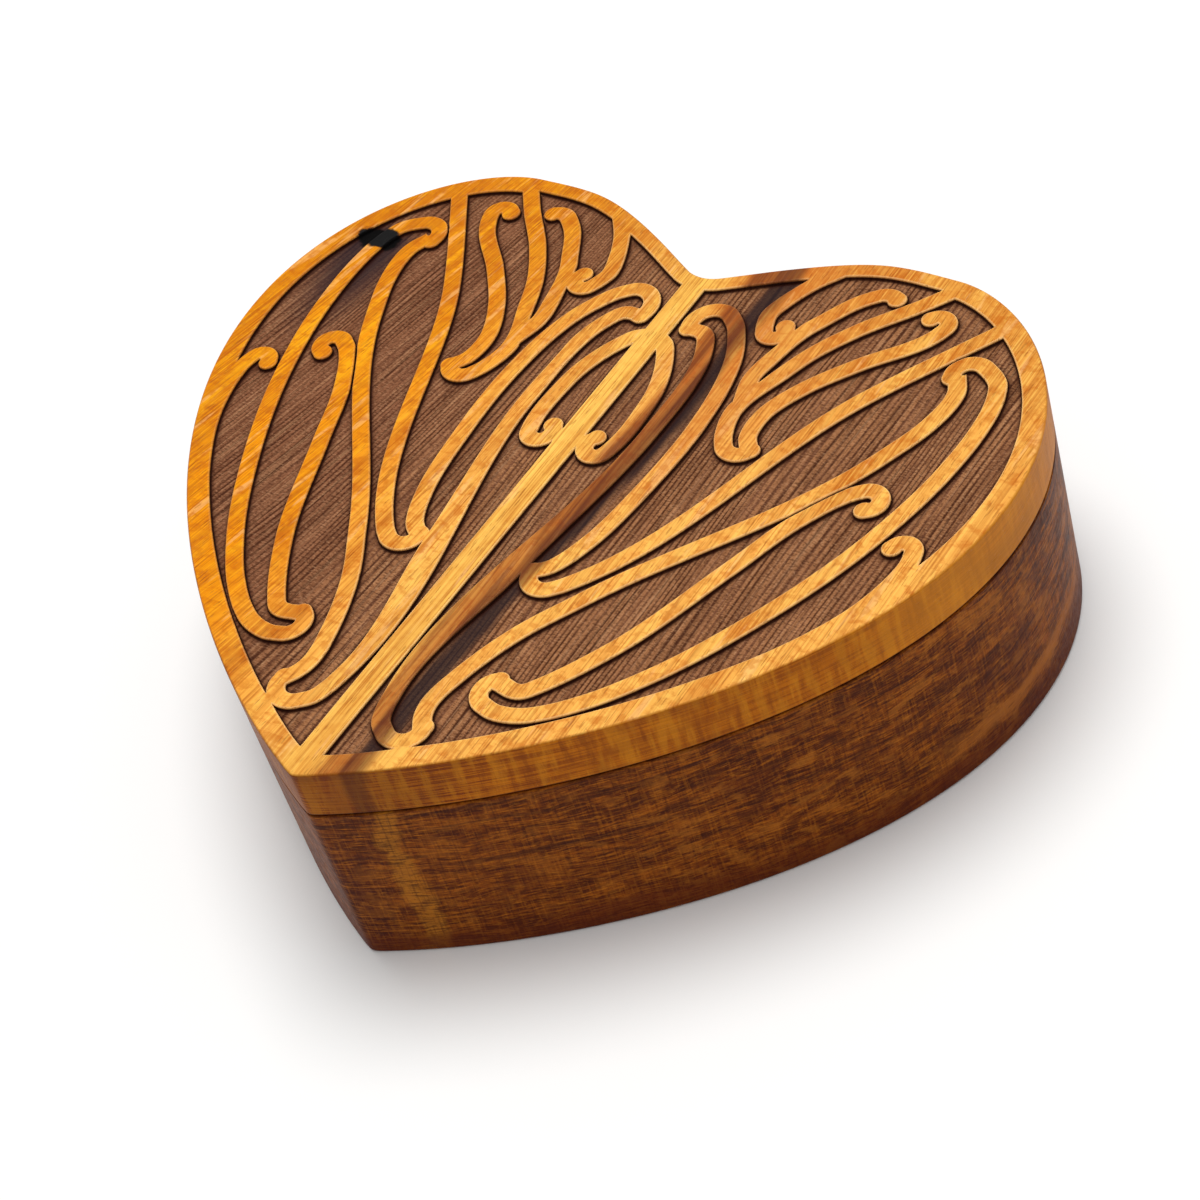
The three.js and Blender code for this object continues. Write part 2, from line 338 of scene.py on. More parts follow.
def ring_rows(side, step):
    """Rows of points across the board, each point on the crest or in the groove of a growth ring."""
    fine = np.arange(-side, side, FINE_STEP)
    wide = np.arange(-2 * side, 2 * side, FINE_STEP)
    numbers = ring_number(wide)
    places = np.interp(np.arange(math.ceil(numbers[0]), numbers[-1], 0.5), numbers, wide)
    rows = np.arange(-side, side, step)
    return [(y, np.interp(places, across_grain(fine, y), fine, np.nan, np.nan)) for y in rows]


def square_rows(side, step):
    """Rows of evenly spaced points, each row half a step along from the last."""
    places = np.arange(-side, side, step)
    return [(y, places + step / 2 * (k % 2)) for k, y in enumerate(places)]


def inner_reach(points, normals, tree):
    """For each loop point, the radius of the largest circle that fits beside it, up to FREE_REACH."""
    found = np.full(len(points), FREE_REACH)
    for i, (p, n) in enumerate(zip(points, normals)):
        for q, _, distance in tree.find_range((*p, 0), 2 * FREE_REACH):
            ahead = (q[0] - p[0]) * n[0] + (q[1] - p[1]) * n[1]
            if distance > 1e-6 and ahead > 0.2 * distance:
                found[i] = min(found[i], distance * distance / (2 * ahead))
    return found


def inside_of(loops, rows):
    """The points of some rows that have an odd count of the loops round them."""
    a = np.vstack(loops)
    b = np.vstack([np.roll(p, -1, axis=0) for p in loops])
    made = []
    for y, xs in rows:
        cut = (a[:, 1] > y) != (b[:, 1] > y)
        share = (y - a[cut, 1]) / (b[cut, 1] - a[cut, 1])
        walls = np.sort(a[cut, 0] + share * (b[cut, 0] - a[cut, 0]))
        made += [(x, y) for x in xs[np.isfinite(xs)] if np.searchsorted(walls, x) % 2]
    return made


def clear_of(tree, points, least):
    """The points that lie further than least from the edges in a tree."""
    return np.array([p for p in points if tree.find((*p, 0))[2] > least])


def cut_plan(loops, floor_points, top_points):
    """The lid's top as triangles: their corners, the points that each corner comes from, the numbers of each
    loop's points, the corner that each point became, and the faces, each with whether it is sunk."""
    starts = np.cumsum([0] + [len(p) for p in loops])
    rings = [list(range(a, b)) for a, b in zip(starts, starts[1:])]
    turned = [rings[0]] + [ids[::-1] for ids in rings[1:]]
    plan = [Vector(p) for p in np.vstack(loops + [floor_points, top_points])]
    corners, _, faces, sources, _, inside = delaunay_2d_cdt(plan, [], turned, 1, 1e-5, True)
    became = {s: made for made, all_sources in enumerate(sources) for s in all_sources}
    # A face inside the outline alone is on the raised top, and inside a field's ring as well, sunk
    top_faces = [(face, len(ids) == 2) for face, ids in zip(faces, inside) if ids]
    return corners, sources, rings, became, top_faces


def quarter(steps):
    """Angles of a quarter turn, from flat to upright."""
    return np.linspace(0, math.pi / 2, steps + 1)


def crest_profile(radius, steps):
    """Rings round an edge from the flat top down, each (moved out, moved up, facing out, facing up)."""
    return [(radius * (math.sin(a) - 1), radius * (math.cos(a) - 1), math.sin(a), math.cos(a))
            for a in quarter(steps)]


def rim_profile(crest, tall):
    """The lid's outer edge, from its rounded top to the small round at the seam."""
    profile = crest_profile(crest, 5)
    flat = 0 * crest
    profile.append((flat, flat - tall / 2, 1, 0))
    for a in quarter(3):
        profile.append((flat + SEAM_EDGE * (math.cos(a) - 1), flat - tall + SEAM_EDGE * (1 - math.sin(a)),
                        math.cos(a), -math.sin(a)))
    return profile


def stem_profile(crest, draft, foot, depth):
    """A stem's edge: rounded crest, the start of the burn, and a leaning wall with a round foot."""
    profile = crest_profile(crest, 3)
    profile.append((0.2 * draft, -crest - BURNT_BELOW, 1, 0))
    for a in quarter(3):
        profile.append((draft + foot * (1 - math.cos(a)), foot * (1 - math.sin(a)) - depth,
                        math.cos(a), math.sin(a)))
    return profile


class Relief:
    """The lid's points with their directions and marks, and its faces."""

    def __init__(self):
        self.points, self.directions, self.faces = [], [], []
        self.marks = {"sunk": [], "soot": [], "side": [], "crest": []}

    def add(self, place, direction, **marks):
        self.points.append(place)
        self.directions.append(direction)
        for key, values in self.marks.items():
            values.append(marks.get(key, 0.0))
        return len(self.points) - 1

    def edge(self, loop, normals, high, profile, marks):
        """Rings of points along a loop with strips between them: the numbers where each ring starts."""
        starts = []
        for (offset, drop, out, up), ring_marks in zip(profile, marks, strict=True):
            starts.append(len(self.points))
            for p, n, across, down in zip(loop, normals, offset, drop):
                x, y = p + n * across
                self.add((x, y, high + down), (n[0] * out, n[1] * out, up), **ring_marks)
        for a, b in zip(starts, starts[1:]):
            self.faces += strip(a, b, len(loop))
        return starts

    def turn_floor(self):
        """Directions for the sunk points that have none yet, from the triangles round them."""
        place = np.array(self.points)
        total = np.zeros_like(place)
        for face in self.faces:
            if len(face) == 3 and all(self.marks["sunk"][v] for v in face):
                a, b, c = place[list(face)]
                total[list(face)] += np.cross(b - a, c - a)
        self.directions = [tuple(t) if d is None else d for d, t in zip(self.directions, unit(total))]


def carved_lid(wood):
    low, high = (c.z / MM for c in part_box("lid"))
    loops = keep_apart([smooth_loop(p, PLAN_STEP) for p in plan_loops("lid", high, 1)], NARROWEST_GAP)
    outline, fields = loops[0], loops[1:]
    tree = plan_tree(np.vstack(loops))
    side = np.abs(outline[:, 0]).max()
    floor_points = clear_of(tree, inside_of(fields, ring_rows(side, FLOOR_ROW)), FLOOR_CLEAR)
    top_points = clear_of(tree, inside_of(loops, square_rows(side, TOP_ROW)), TOP_CLEAR)
    corners, sources, rings, became, top_faces = cut_plan(loops, floor_points, top_points)
    edge_total = sum(len(p) for p in loops)
    floor_total = edge_total + len(floor_points)
    depth = high - plan_floor("lid", high) - FLOOR_CRUST

    relief = Relief()
    raised_of, sunk_of = {}, {}
    for loop, ids in zip(loops, rings):
        normals = loop_normals(loop)
        wood_room, room = inner_reach(loop, -normals, tree), inner_reach(loop, normals, tree)
        if loop is outline:
            profile = rim_profile(np.minimum(LID_EDGE, CREST_SHARE * wood_room), high - low)
            starts = relief.edge(loop, normals, high, profile, RIM_MARKS)
            under = range(starts[-1], starts[-1] + len(loop))
        else:
            profile = stem_profile(np.minimum(CREST_ROUND, CREST_SHARE * wood_room),
                                   np.minimum(WALL_DRAFT, WALL_SHARE * room),
                                   np.minimum(FOOT_FILLET, FOOT_SHARE * room), depth)
            starts = relief.edge(loop, normals, high, profile, STEM_MARKS)
            sunk_of.update({became[s]: starts[-1] + i for i, s in enumerate(ids)})
        raised_of.update({became[s]: starts[0] + i for i, s in enumerate(ids)})

    for made, (x, y) in enumerate(corners):
        first_source = min(sources[made])
        if first_source < edge_total:
            continue
        if first_source < floor_total:
            from_wall = tree.find((x, y, 0))[2] - FOOT_REACH
            rise = RING_HEIGHT * float(ring_relief(x, y)) * min(1.0, max(0.0, from_wall / RINGS_GROW))
            # Soot from the burn, and painted shade beside the stem's wall, fading out over the field
            soot = 0.6 * math.exp(-from_wall / SOOT_AND_SHADE_REACH)
            sunk_of[made] = relief.add((x, y, high - depth + rise), None, sunk=1.0, soot=soot)
        else:
            raised_of[made] = relief.add((x, y, high), (0, 0, 1))

    relief.faces += [tuple((sunk_of if sunk else raised_of)[v] for v in face) for face, sunk in top_faces]
    relief.faces += [tuple(under[v] for v in face) for face in cut_up(outline, [])]
    relief.turn_floor()
    return make_piece("lid_board", relief.points, relief.faces, relief.directions, wood, relief.marks)


def plan_floor(node, high):
    """The level of the sunk field: the highest flat level of a node below its top."""
    levels = sorted({round(v.co.z / MM, 2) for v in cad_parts[node].data.vertices})
    return [z for z in levels if z < high - 0.05][-1]


# Boards with plain outlines: the wall, the bottom board, the felt and the board under the lid

class Board:
    """A closed body made of rings of points round a heart and flat faces inside them."""

    def __init__(self):
        self.points, self.directions, self.faces, self.side = [], [], [], []

    def ring(self, loop, across, level, out, up):
        """One ring, moved across from a loop, away from the heart's middle, with its direction."""
        start = len(self.points)
        for p, n in zip(loop, loop_normals(loop)):
            self.points.append((*(p + n * across), level))
            self.directions.append((n[0] * out, n[1] * out, up))
            self.side.append(abs(out))
        return start

    def arc(self, loop, across, level, radius, start, end, hollow=False, steps=3):
        """Rings round a long edge, from one angle to another: 0 is outwards and 90 up."""
        way = -1 if hollow else 1
        return [self.ring(loop, across + radius * math.cos(t), level + radius * math.sin(t),
                          way * math.cos(t), way * math.sin(t))
                for t in np.linspace(math.radians(start), math.radians(end), steps + 1)]

    def join(self, rings, closed=False):
        for a, b in zip(rings, rings[1:] + rings[:1] if closed else rings[1:]):
            self.faces += strip(a, b, COUNT)

    def cap(self, start, up, inner=(), lift=lambda x, y: 0.0):
        """A flat face inside a ring, lifted a little at its inner points."""
        edge = [p[:2] for p in self.points[start:start + COUNT]]
        level = self.points[start][2]
        shift = len(self.points) - COUNT
        for x, y in inner:
            self.points.append((x, y, level + lift(x, y)))
            self.directions.append((0, 0, up))
            self.side.append(0.0)
        for face in cut_up(edge, inner):
            self.faces.append(tuple(start + v if v < COUNT else shift + v for v in face))

    def piece(self, name, wood):
        return make_piece(name, self.points, self.faces, self.directions, wood, {"side": self.side})


def heart_loops(node, level, facing):
    """Even loops of a node's flat face, the widest first, each running the same way from the tip."""
    loops = [even_loop(p if area_of(p) > 0 else p[::-1]) for p in plan_loops(node, level, facing)]
    return sorted(loops, key=lambda p: -area_of(p))


def hollow_wall(name, wood):
    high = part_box("body_wall")[1].z / MM
    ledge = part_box("bottom_board")[1].z / MM
    outline, pocket = heart_loops("body_wall", high, 1)
    recess = heart_loops("body_wall", 0, -1)[1]
    board = Board()
    r, s, t, u = WALL_EDGE, SEAM_EDGE, POCKET_EDGE, RECESS_EDGE
    rings = board.arc(outline, -r, r, r, -90, 0, steps=5)
    rings += board.arc(outline, -s, high - s, s, 0, 90)
    rings += board.arc(pocket, t, high - t, t, 90, 180, steps=5)
    rings += board.arc(pocket, u, ledge + u, u, 180, 270)
    rings += board.arc(recess, -u, ledge - u, u, 90, 0, hollow=True)
    rings += board.arc(recess, u, u, u, 180, 270)
    board.join(rings, closed=True)
    return board.piece(name, wood)


def felt_rise(x, y):
    """How the felt cockles over the glue: faint soft waves, sunk a little below its nominal face."""
    waves = math.sin(x / 7.3 + 1.2 * math.sin(y / 11)) * math.cos(y / 8.1 + math.sin(x / 13))
    return 0.09 * waves - 0.1


def plain_board(name, node, wood, foot_edge, top_edge, inner=(), lift=lambda x, y: 0.0):
    low, high = (c.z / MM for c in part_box(node))
    loop = heart_loops(node, low, -1)[0]
    board = Board()
    rings = board.arc(loop, -foot_edge, low + foot_edge, foot_edge, -90, 0)
    rings += board.arc(loop, -top_edge, high - top_edge, top_edge, 0, 90)
    board.join(rings)
    board.cap(rings[0], -1)
    board.cap(rings[-1], 1, inner, lift)
    return board.piece(name, wood)


# Node groups and materials

def link(tree, value, socket):
    """Feeds a socket from another node's output, or sets it."""
    if isinstance(value, bpy.types.NodeSocket):
        tree.links.new(value, socket)
    elif value is not None:
        socket.default_value = value


def set_inputs(tree, node, values):
    for key, value in values.items():
        link(tree, value, node.inputs[key])


def add_node(tree, kind, inputs=None, **settings):
    node = tree.nodes.new(kind)
    for key, value in settings.items():
        setattr(node, key, value)
    set_inputs(tree, node, inputs or {})
    return node


def maths(tree, operation, a, b=None):
    return add_node(tree, "ShaderNodeMath", {0: a, 1: b}, operation=operation).outputs[0]


def plus(tree, a, b):
    return maths(tree, "ADD", a, b)


def less(tree, a, b):
    return maths(tree, "SUBTRACT", a, b)


def divide(tree, a, b):
    return maths(tree, "DIVIDE", a, b)


def times(tree, first, *others):
    for other in others:
        first = maths(tree, "MULTIPLY", first, other)
    return first


def size_of(tree, value):
    return maths(tree, "ABSOLUTE", value)


def squared(tree, value):
    return maths(tree, "POWER", size_of(tree, value), 2.0)


def vector_maths(tree, operation, a, b):
    return add_node(tree, "ShaderNodeVectorMath", {0: a, 1: b}, operation=operation).outputs["Vector"]


def split_up(tree, vector):
    return add_node(tree, "ShaderNodeSeparateXYZ", {"Vector": vector}).outputs


def put_together(tree, **parts):
    return add_node(tree, "ShaderNodeCombineXYZ", parts).outputs[0]


def shown(hex_colour):
    """A colour as a screen shows it, turned into the linear values that a shader takes."""
    parts = [int(hex_colour[i:i + 2], 16) / 255 for i in (0, 2, 4)]
    return (*[c / 12.92 if c <= 0.04045 else ((c + 0.055) / 1.055) ** 2.4 for c in parts], 1.0)


def blend(tree, share, first, second):
    """The first colour with a share of the second over it, each a socket or a hex colour."""
    node = add_node(tree, "ShaderNodeMix", {0: share}, data_type="RGBA", clamp_result=True)
    for colour, socket in ((first, node.inputs[6]), (second, node.inputs[7])):
        link(tree, shown(colour) if isinstance(colour, str) else colour, socket)
    return node.outputs[2]


def remap(tree, value, low, high, to_low=0.0, to_high=1.0, smooth=True):
    kind = "SMOOTHSTEP" if smooth else "LINEAR"
    values = {"Value": value, "From Min": low, "From Max": high, "To Min": to_low, "To Max": to_high}
    return add_node(tree, "ShaderNodeMapRange", values, interpolation_type=kind).outputs[0]


def near(tree, offset, full, gone):
    """1 for offsets smaller than full either way, fading to 0 at gone."""
    return less(tree, 1.0, remap(tree, size_of(tree, offset), full, gone))


def tint(tree, colour, over, mask, share):
    """A colour with a share of another over it where a mask is 1."""
    return blend(tree, times(tree, mask, share), colour, over)


def wash(tree, colour, over, value, low, high, share):
    """A colour with another over it, from none where a value is at low to a share where it is at high."""
    return blend(tree, remap(tree, value, low, high, 0.0, share), colour, over)


def noise(tree, place, scale, detail=3.0, roughness=0.55, distortion=0.0, finer=1.0):
    """A noise value at a place in millimetres; scale is how many millimetres a feature takes on each axis."""
    values = {"Vector": vector_maths(tree, "DIVIDE", place, scale), "Scale": finer,
              "Detail": detail, "Roughness": roughness, "Distortion": distortion}
    return add_node(tree, "ShaderNodeTexNoise", values).outputs["Fac"]


def swing(tree, value, width):
    """A noise value moved to lie either side of 0, over a width."""
    return times(tree, less(tree, value, 0.5), width)


def mark(tree, name):
    return add_node(tree, "ShaderNodeAttribute", attribute_name=name).outputs["Fac"]


def board_place(tree):
    """Where a point is on its board, in millimetres."""
    place = add_node(tree, "ShaderNodeTexCoord").outputs["Object"]
    return vector_maths(tree, "MULTIPLY", place, (1 / MM,) * 3)


VALUE, VECTOR = "NodeSocketFloat", "NodeSocketVector"


def group(name, inputs, outputs):
    """An empty node group with value and vector sockets: (tree, its inputs, its outputs)."""
    tree = bpy.data.node_groups.new(name, "ShaderNodeTree")
    for title, kind, value in inputs:
        socket = tree.interface.new_socket(title, in_out="INPUT", socket_type=kind)
        if value is not None:
            socket.default_value = value
    for title in outputs:
        tree.interface.new_socket(title, in_out="OUTPUT", socket_type=VALUE)
    return tree, tree.nodes.new("NodeGroupInput").outputs, tree.nodes.new("NodeGroupOutput").inputs


def use(tree, made, **values):
    """A group placed in a material with its own values."""
    node = add_node(tree, "ShaderNodeGroup", node_tree=made)
    for key, value in values.items():
        link(tree, value, node.inputs[key.replace("_", " ").capitalize()])
    return node.outputs


def grain_group():
    """Long grain: broad bands, streaks, fine fibres and short pores, all running along Y."""
    tree, given, out = group("long_grain", [("Place", VECTOR, None), ("Band width", VALUE, 12.0),
                                            ("Streak width", VALUE, 1.4), ("Drift", VALUE, 2.0)],
                             ["Bands", "Streaks", "Fibres", "Pores"])
    place = given["Place"]
    sway = swing(tree, noise(tree, place, (40.0, 60.0, 40.0), 1.0), given["Drift"])
    swayed = vector_maths(tree, "ADD", place, put_together(tree, X=sway, Z=sway))

    def stretched(width, length, detail):
        return noise(tree, swayed, put_together(tree, X=width, Y=length, Z=width), detail, 0.6)

    link(tree, stretched(given["Band width"], 130.0, 2.0), out["Bands"])
    link(tree, remap(tree, stretched(given["Streak width"], 42.0, 4.0), 0.34, 0.68), out["Streaks"])
    link(tree, stretched(0.22, 7.0, 2.0), out["Fibres"])
    link(tree, remap(tree, stretched(0.32, 3.2, 1.0), 0.62, 0.72), out["Pores"])
    return tree


def mottle_group():
    """Clouded figure: soft patches with a finer break-up, for how the cut grain takes the oil."""
    tree, given, out = group("mottle", [("Place", VECTOR, None), ("Patch", VALUE, 6.0)], ["Clouds", "Flecks"])
    patch = put_together(tree, X=given["Patch"], Y=given["Patch"], Z=given["Patch"])
    clouds = noise(tree, given["Place"], patch, 4.0, 0.6, 0.6)
    link(tree, remap(tree, clouds, 0.34, 0.68), out["Clouds"])
    flecks = noise(tree, given["Place"], patch, 3.0, 0.7, finer=6.0)
    link(tree, remap(tree, flecks, 0.4, 0.7), out["Flecks"])
    return tree


def heartwood_group():
    """The dark streak of heartwood to the right of the rib, and the black knot in the left lobe."""
    tree, given, out = group("heartwood", [("Place", VECTOR, None)], ["Core", "Red", "Knot", "Stain"])
    place = given["Place"]
    split = split_up(tree, place)
    wobble = swing(tree, noise(tree, place, (9.0, 26.0, 30.0)), 5.0)
    off = less(tree, split["X"], plus(tree, remap(tree, split["Y"], *HEART_ALONG, *HEART_ACROSS), wobble))
    link(tree, near(tree, off, 0.9, 2.8), out["Core"])
    link(tree, near(tree, plus(tree, off, 2.6), 2.2, 4.8), out["Red"])
    apart = split_up(tree, vector_maths(tree, "SUBTRACT", place, (*KNOT, 0.0)))
    wide = divide(tree, apart["X"], KNOT_SIZE[0])
    tall = divide(tree, apart["Y"], KNOT_SIZE[1])
    ragged = swing(tree, noise(tree, place, (2.2, 1.6, 2.0), 4.0, 0.7), 0.7)
    reach = plus(tree, maths(tree, "SQRT", plus(tree, squared(tree, wide), squared(tree, tall))), ragged)
    link(tree, less(tree, 1.0, remap(tree, reach, 0.82, 1.05)), out["Knot"])
    # The stain runs a long way down the grain from the knot and a little way up
    tail = divide(tree, apart["Y"], remap(tree, apart["Y"], -6.0, 2.0, 26.0, 5.0))
    around = maths(tree, "SQRT", plus(tree, squared(tree, wide), times(tree, squared(tree, tail), 4.0)))
    link(tree, less(tree, 1.0, remap(tree, around, 0.7, 2.4)), out["Stain"])
    return tree


def ring_crests(tree, place, leant):
    """The growth rings where ring_relief has them: 0 in the grooves and 1 on the crests."""
    def wave(size, angle):
        return times(tree, maths(tree, "SINE", angle), size)

    at = split_up(tree, place)
    across = split_up(tree, leant)["X"]
    for size, along, aside in WANDER:
        angle = plus(tree, divide(tree, at["Y"], along), divide(tree, at["X"], aside))
        across = plus(tree, across, wave(size, angle))
    number = divide(tree, across, RING_PITCH)
    for size, length, start in CROWDING:
        number = plus(tree, number, wave(size, plus(tree, divide(tree, across, length), start)))
    return remap(tree, maths(tree, "COSINE", times(tree, number, 2 * math.pi)), -1.0, 0.3)


def new_material(name):
    material = bpy.data.materials.new(name)
    material.use_nodes = True
    return material, material.node_tree


def finish_material(material, colour, roughness, height, distance, specular):
    """The last nodes of a material. Its height gives a bump as high as distance, in millimetres."""
    tree = material.node_tree
    bump = add_node(tree, "ShaderNodeBump", {"Height": height, "Distance": distance * MM, "Strength": 1.0})
    set_inputs(tree, tree.nodes["Principled BSDF"], {
        "Base Color": colour, "Roughness": roughness,
        "Specular IOR Level": specular, "Normal": bump.outputs[0]})
    return material


def planed_top(tree, split, leant, figure, cloud, heart, leftward, crest):
    """Deep orange on the left, paler to the right, palest along the rib, painted shade towards the back
    lobes, painted highlights on the stems' crests, and fine lines all over.
    """
    top = blend(tree, leftward, TOP_RIGHT, TOP_LEFT)
    # Painted shade: darker towards the back lobes, where the light falls off
    top = wash(tree, top, TOP_BACK_SHADE, split["Y"], 12.0, 62.0, 0.6)
    top = wash(tree, top, TOP_FAR_LEFT, split["X"], -54.0, -70.0, 0.55)
    rib = near(tree, split["X"], 1.2, 8.0)
    top = tint(tree, top, TOP_RIB, rib, 0.7)
    top = wash(tree, top, "c56c10", figure["Bands"], 0.45, 0.68, 0.6)
    top = tint(tree, top, "b45e08", figure["Streaks"], 0.45)
    pale = blend(tree, leftward, "ffcb62", "ffb414")
    lines = noise(tree, leant, (0.34, 30.0, 2.0), 3.0, 0.6)
    top = wash(tree, top, "a44e04", lines, 0.49, 0.64, 0.6)
    top = wash(tree, top, pale, lines, 0.47, 0.33, 0.5)
    glow = remap(tree, noise(tree, leant, (3.4, 26.0, 8.0), 2.0, 0.5, 0.4), 0.56, 0.68)
    top = blend(tree, times(tree, glow, remap(tree, leftward, 0.0, 1.0, 0.35, 0.45)), top, pale)
    peach = noise(tree, leant, (1.5, 15.0, 6.0), 3.0, 0.5)
    top = wash(tree, top, "f8c07a", peach, 0.59, 0.67, 0.45)
    ripple = remap(tree, noise(tree, leant, (2.2, 1.7, 2.0), 4.0, 0.62, 0.4), 0.46, 0.64)
    top = blend(tree, times(tree, ripple, less(tree, 0.54, times(tree, rib, 0.4))), top, "bc5e04")
    top = tint(tree, top, pale, cloud["Clouds"], 0.2)
    # Painted highlight along the stems' rounded crests, stronger on the right half, where they face the light
    top = blend(tree, times(tree, crest, remap(tree, leftward, 0.0, 1.0, 0.5, 0.12)), top, "ffd08c")
    top = tint(tree, top, "8a4408", figure["Pores"], 0.4)
    rosy = times(tree, remap(tree, split["X"], 1.0, 9.0), remap(tree, split["X"], 44.0, 16.0),
                 remap(tree, split["Y"], -20.0, 26.0, 0.0, 0.42),
                 remap(tree, figure["Bands"], 0.36, 0.6, 0.5, 1.0))
    top = blend(tree, rosy, top, "c4692a")
    top = tint(tree, top, "a04c18", heart["Red"], 0.66)
    top = blend(tree, times(tree, heart["Red"], figure["Streaks"], 0.7), top, "5a2210")
    return tint(tree, top, "4a2114", heart["Core"], 0.6)


def oiled_edge(tree, place, split, figure, cloud, heart):
    """The lid's edge, where the end grain took more oil: lines along it, bars across, and painted shade with
    some dirt just above the seam.
    """
    lines = remap(tree, noise(tree, place, (14.0, 14.0, 0.28), 3.0, 0.6), 0.42, 0.6)
    bars = noise(tree, place, (1.6, 1.6, 12.0), 3.0, 0.6)
    edge = blend(tree, times(tree, lines, remap(tree, split["X"], 18.0, 44.0, 1.0, 0.55)), "b66406", "702c02")
    edge = wash(tree, edge, "cc8218", bars, 0.44, 0.62, 0.5)
    edge = wash(tree, edge, "743406", bars, 0.44, 0.32, 0.5)
    edge = tint(tree, edge, "924f0c", cloud["Clouds"], 0.35)
    edge = wash(tree, edge, "6b350f", figure["Bands"], 0.5, 0.72, 0.5)
    edge = wash(tree, edge, "4e2006", split["Y"], -50.0, -60.0, 0.35)
    edge = wash(tree, edge, "da8c24", split["X"], 64.0, 73.0, 0.45)
    edge = tint(tree, edge, "6a2c12", heart["Red"], 0.3)
    edge = tint(tree, edge, "42200f", heart["Core"], 0.5)
    # A dark band just above the seam: painted shade in the gap between lid and wall, with some dirt
    seam = times(tree, remap(tree, split["Z"], SEAM + 0.45, SEAM + 0.15),
                 remap(tree, split["Z"], SEAM + 0.01, SEAM + 0.05, 0.0, 0.9))
    return blend(tree, seam, edge, "340a05")


def scorched_field(tree, place, leant, cloud, heart, leftward):
    """The sunk field: growth rings stand up pale out of the burnt wood between them."""
    strength = remap(tree, noise(tree, leant, (1.4, 13.0, 5.0), 3.0, 0.6), 0.32, 0.62, 0.5, 1.0)
    faint = remap(tree, noise(tree, leant, (2.6, 30.0, 5.0), 2.0, 0.5), 0.4, 0.64, 0.0, 0.8)
    groove = blend(tree, faint, "4a2717", "805239")
    ridge = blend(tree, leftward, "a46f48", "8f5d40")
    burnt = blend(tree, times(tree, ring_crests(tree, place, leant), strength), groove, ridge)
    streaky = noise(tree, leant, (0.5, 26.0, 5.0), 4.0, 0.65)
    burnt = wash(tree, burnt, "cf9c70", streaky, 0.5, 0.7, 0.42)
    burnt = wash(tree, burnt, "40200f", streaky, 0.48, 0.3, 0.45)
    burnt = tint(tree, burnt, "6a4028", cloud["Clouds"], 0.25)
    grit = noise(tree, leant, (0.75, 0.3, 0.5), 3.0, 0.7)
    burnt = wash(tree, burnt, "3a1e13", grit, 0.5, 0.64, 0.62)
    burnt = wash(tree, burnt, "d0a078", grit, 0.46, 0.32, 0.3)
    burnt = tint(tree, burnt, "281e20", heart["Core"], 0.88)
    return tint(tree, burnt, "2e2226", heart["Stain"], 0.9)


def golden_timber(grain, mottle, heartwood):
    material, tree = new_material("golden_timber")
    place = board_place(tree)
    split = split_up(tree, place)
    lean = times(tree, remap(tree, split["X"], *LEANING, LEFT_LEAN, 0.0, smooth=False), split["Y"])
    leant = vector_maths(tree, "ADD", place, put_together(tree, X=lean))
    figure = use(tree, grain, place=leant, band_width=9.0, streak_width=1.1, drift=3.0)
    cloud = use(tree, mottle, place=place, patch=4.0)
    heart = use(tree, heartwood, place=place)
    sunk, soot, side, crest = (mark(tree, m) for m in ("sunk", "soot", "side", "crest"))
    leftward = remap(tree, split["X"], -38.0, -4.0, 1.0, 0.0)
    top = planed_top(tree, split, leant, figure, cloud, heart, leftward, crest)
    wood = blend(tree, side, top, oiled_edge(tree, place, split, figure, cloud, heart))
    colour = blend(tree, sunk, wood, scorched_field(tree, place, leant, cloud, heart, leftward))
    # Darkens burnt wood, with painted shade on the walls and on the field at their foot
    colour = tint(tree, colour, "2c0f07", soot, 0.94)
    colour = blend(tree, heart["Knot"], colour, "060505")
    rough = plus(tree, remap(tree, sunk, 0.0, 1.0, 0.36, 0.8), times(tree, figure["Fibres"], 0.12))
    rough = plus(tree, rough, times(tree, cloud["Flecks"], 0.06))
    fuzz = noise(tree, place, (0.25, 0.9, 0.25), 3.0, 0.7)
    height = plus(tree, times(tree, figure["Fibres"], 0.35), times(tree, fuzz, sunk, 1.8))
    height = less(tree, height, times(tree, figure["Pores"], 0.5))
    return finish_material(material, colour, rough, height, 0.09, 0.06)


def wall_tip(tree, colour, split, warp, level, cloud):
    """Dark red wood on both sides of the tip, and one light streak up to the right of it."""
    tip = remap(tree, split["Y"], -45.0, -56.0)
    sway = plus(tree, times(tree, warp, 5.0), times(tree, cloud["Clouds"], 1.6))
    from_streak = size_of(tree, less(tree, split["X"], plus(tree, LIGHT_STREAK, sway)))
    streak = times(tree, remap(tree, from_streak, 2.2, 0.8), times(tree, tip, 0.75))
    colour = blend(tree, streak, colour, "b06e1c")
    inner = times(tree, remap(tree, size_of(tree, split["X"]), 8.5, 3.0), tip,
                  remap(tree, level, 16.0, 30.0, 0.75, 0.1))
    return blend(tree, inner, colour, "451006")


def wall_lines(tree, colour, warped, threads, saw):
    """Dark and light lines along the wall, and the saw's upright marks across them."""
    colour = wash(tree, colour, "341002", threads, 0.49, 0.64, 0.7)
    colour = wash(tree, colour, "ac6210", threads, 0.5, 0.34, 0.55)
    colour = wash(tree, colour, "381202", saw, 0.5, 0.68, 0.45)
    colour = wash(tree, colour, "a65e10", saw, 0.5, 0.32, 0.35)
    dashes = noise(tree, warped, (1.7, 1.7, 0.24), 3.0, 0.65)
    colour = wash(tree, colour, "2e0e02", dashes, 0.52, 0.66, 0.6)
    return wash(tree, colour, "b06814", dashes, 0.46, 0.33, 0.5)


